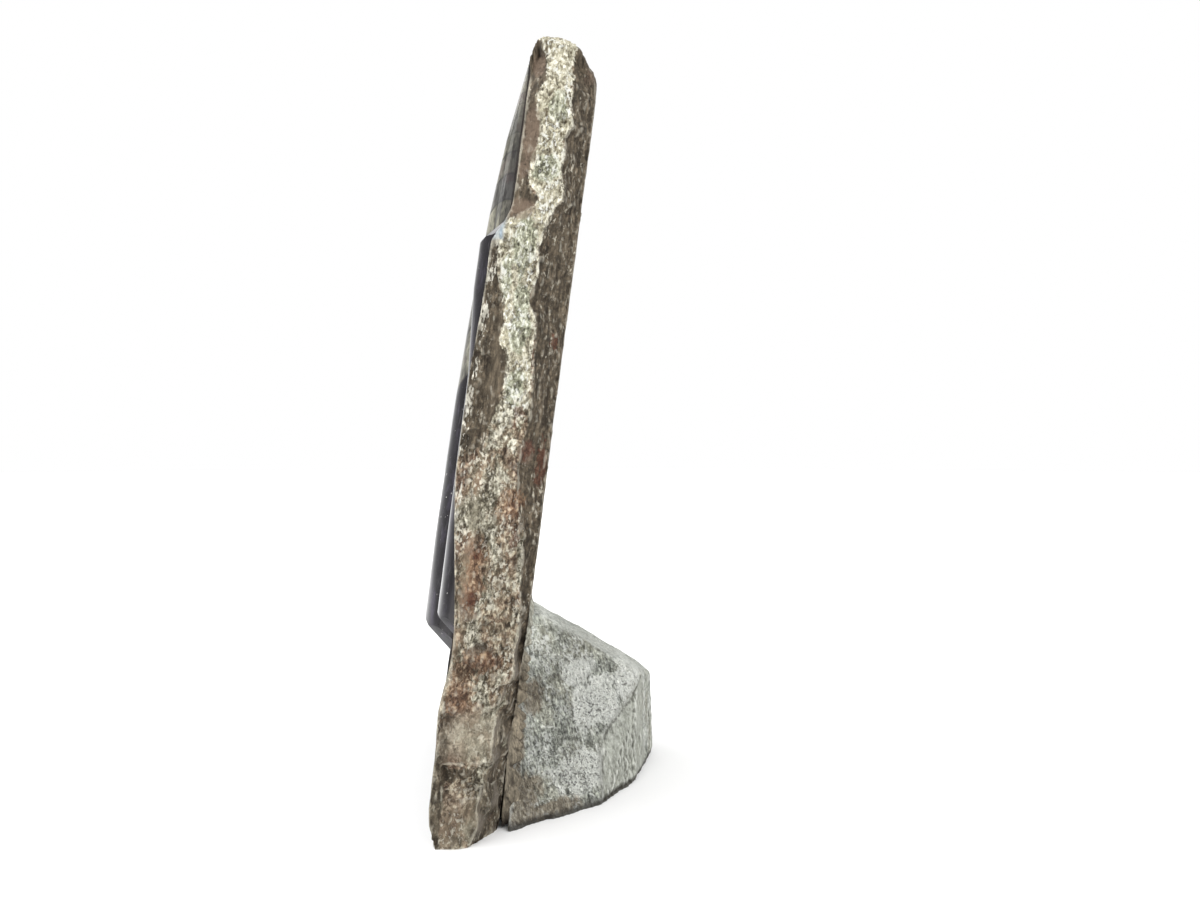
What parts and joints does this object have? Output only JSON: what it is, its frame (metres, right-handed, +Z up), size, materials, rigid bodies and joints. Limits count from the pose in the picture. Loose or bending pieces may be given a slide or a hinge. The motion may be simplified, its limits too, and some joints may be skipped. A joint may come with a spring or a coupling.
{
  "type": "orthoceras fossil plaque",
  "caption": "Leaning slab of dark limestone with long cone-shaped fossils in polished relief, held upright by a stone foot mortared to its back, for standing on a shelf or desk.",
  "frame": {"origin": "on the ground, under the middle of the whole piece's box", "axes": "+Z up, +X across the plaque towards the edge that the picture shows, -Y the way the fossils face"},
  "size_m": [0.1533, 0.0951, 0.281],
  "materials": {
    "limestone": "rough broken stone, dark brown with a pale crystalline band",
    "polished_fossil": "polished, black and grey-white calcite",
    "grey_stone": "sawn and broken, matt grey",
    "mortar": "matt, trowelled"
  },
  "bodies": {
    "root": {"slab": "limestone", "orthoceras_long": "polished_fossil", "orthoceras_edge": "polished_fossil", "orthoceras_left": "polished_fossil", "orthoceras_small": "polished_fossil", "foot": "grey_stone", "mortar": "mortar"}
  },
  "joints": []
}
